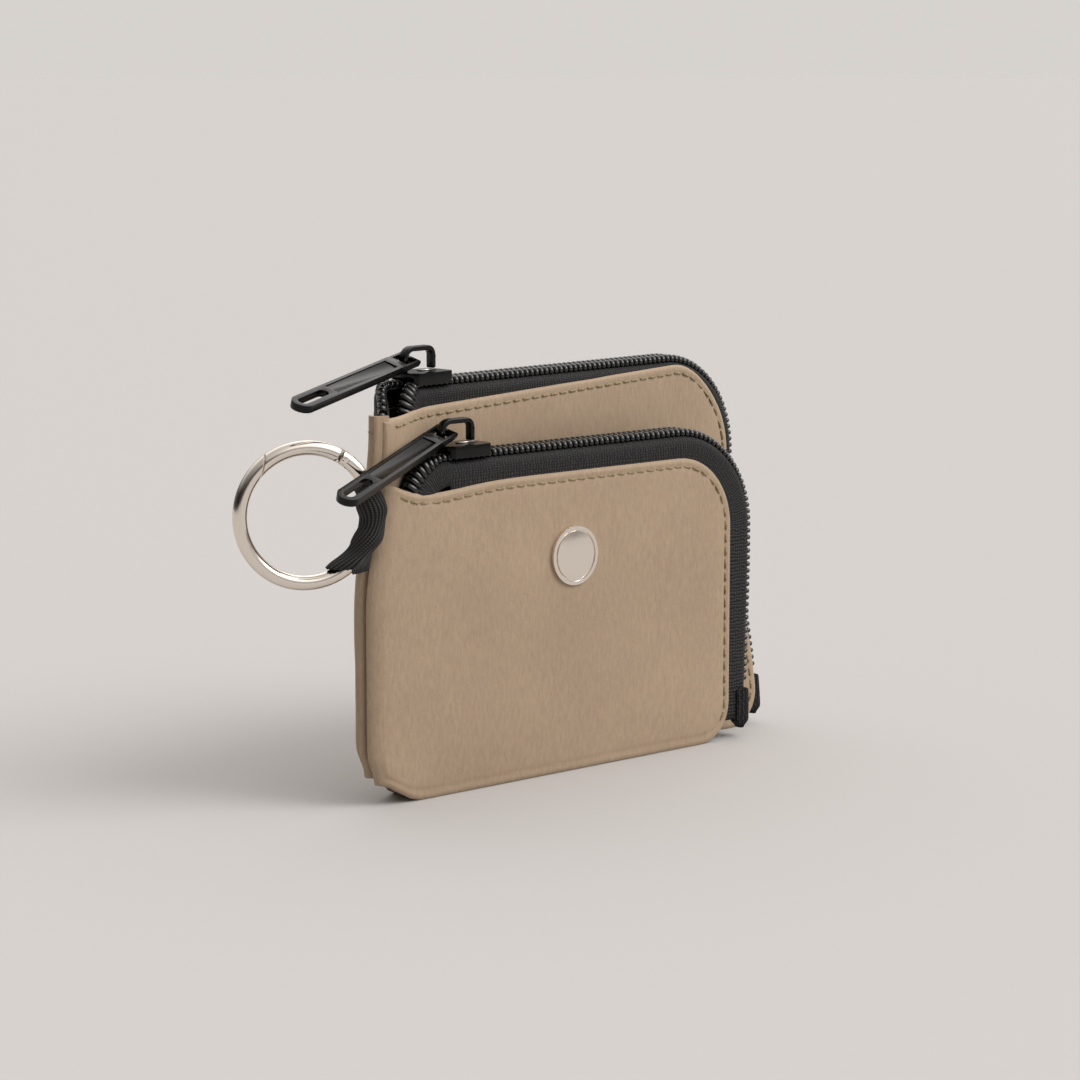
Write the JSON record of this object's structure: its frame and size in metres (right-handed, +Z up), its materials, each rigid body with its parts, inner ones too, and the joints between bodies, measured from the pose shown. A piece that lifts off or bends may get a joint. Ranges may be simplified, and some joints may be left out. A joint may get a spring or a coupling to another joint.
{
  "type": "neck pouch wallet",
  "caption": "Small padded nylon zip wallet with a main pouch and a front pocket, each with an L-shaped zip, and a spring-gate ring held by a strap in the side seam.",
  "frame": {"origin": "centre of the bottom gusset's underside, on the ground", "axes": "+Z up, the pocket and badge face -Y, +X from the ring's side seam towards the zip's corner"},
  "size_m": [0.1532, 0.0358, 0.0954],
  "materials": {
    "taupe_nylon": "matte woven nylon",
    "lining": "matte",
    "zip_tape": "matte woven tape",
    "zip_coil": "satin nylon coil",
    "khaki_thread": "matte thread",
    "black_metal": "satin black enamel",
    "spring_steel": "bright",
    "nickel": "polished nickel",
    "black_strap": "ribbed grosgrain"
  },
  "bodies": {
    "pouch": {"main_back_panel": "taupe_nylon", "main_front_panel": "taupe_nylon", "left_gusset": "taupe_nylon", "bottom_gusset": "taupe_nylon", "main_lining": "lining", "pocket_panel": "taupe_nylon", "pocket_floor": "taupe_nylon", "pocket_lining": "lining", "main_tape_front": "zip_tape", "main_tape_back": "zip_tape", "main_coil_front": "zip_coil", "main_coil_back": "zip_coil", "main_end_tab": "zip_tape", "pocket_tape_front": "zip_tape", "pocket_tape_back": "zip_tape", "pocket_coil_front": "zip_coil", "pocket_coil_back": "zip_coil", "pocket_end_tab": "zip_tape", "main_topstitch": "khaki_thread", "pocket_topstitch": "khaki_thread", "gusset_hem_stitch": "khaki_thread", "badge_face": "nickel", "badge_backing": "nickel"},
    "main_slider": {"main_slider_body": "black_metal", "main_slider_crown": "black_metal", "main_lock_spring": "spring_steel"},
    "main_pull": {"main_pull": "black_metal"},
    "pocket_slider": {"pocket_slider_body": "black_metal", "pocket_slider_crown": "black_metal", "pocket_lock_spring": "spring_steel"},
    "pocket_pull": {"pocket_pull": "black_metal"},
    "strap": {"strap_loop": "black_strap"},
    "ring": {"ring_body": "nickel", "ring_hinge_pin": "nickel", "ring_gate_spring": "spring_steel"},
    "gate": {"ring_gate": "nickel"}
  },
  "joints": [
    {"name": "main_slider_travel", "type": "slide", "parent": "pouch", "child": "main_slider", "axis": [0.9969, 0.0785, 0], "range_m": [0, 0.07]},
    {"name": "main_pull_swing", "type": "hinge", "parent": "main_slider", "child": "main_pull", "pos_m": [-0.04027, -0.00315, 0.0926], "axis": [-0.0785, 0.9969, 0], "range_deg": [0, 120]},
    {"name": "pocket_slider_travel", "type": "slide", "parent": "pouch", "child": "pocket_slider", "axis": [1, 0, 0], "range_m": [0, 0.055]},
    {"name": "pocket_pull_swing", "type": "hinge", "parent": "pocket_slider", "child": "pocket_pull", "pos_m": [-0.0377, -0.01248, 0.0776], "axis": [0, 1, 0], "range_deg": [0, 120]},
    {"name": "ring_swing", "type": "hinge", "parent": "pouch", "child": "strap", "pos_m": [-0.06215, -0.01668, 0.063], "axis": [0, 0, 1], "range_deg": [-40, 5]},
    {"name": "ring_turn", "type": "hinge", "parent": "strap", "child": "ring", "pos_m": [-0.07498, -0.01097, 0.063], "axis": [-0.4067, -0.9135, 0], "continuous": true},
    {"name": "gate_open", "type": "hinge", "parent": "ring", "child": "gate", "pos_m": [-0.06744, -0.01433, 0.07437], "axis": [-0.4067, -0.9135, 0], "range_deg": [0, 35], "stiffness_Nm_per_rad": 0.01, "springref_deg": -17.19}
  ]
}
